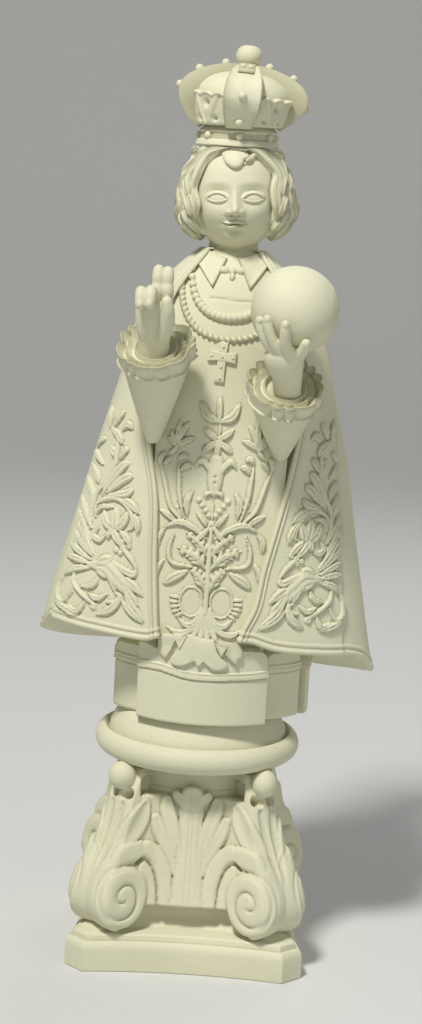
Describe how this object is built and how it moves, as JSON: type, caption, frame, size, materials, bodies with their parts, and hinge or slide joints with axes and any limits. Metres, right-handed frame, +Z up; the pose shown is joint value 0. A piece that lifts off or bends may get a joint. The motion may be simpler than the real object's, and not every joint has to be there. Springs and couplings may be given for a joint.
{
  "type": "plaster statuette of a robed child figure with globe and crown",
  "caption": "Standing child figure in a bell-shaped cloak, one hand raised and one holding a globe, crowned, on a square pedestal with scroll consoles.",
  "frame": {"origin": "centre of the plinth's flat underside", "axes": "+Z up along the figure, the figure faces -Y, +X to the viewer's right as it is seen from the front"},
  "size_m": [0.1673, 0.1386, 0.4504],
  "materials": {
    "plaster": "matte unpainted cast plaster, off-white"
  },
  "bodies": {
    "root": {"pedestal": "plaster", "figure": "plaster", "crown": "plaster"}
  },
  "joints": []
}
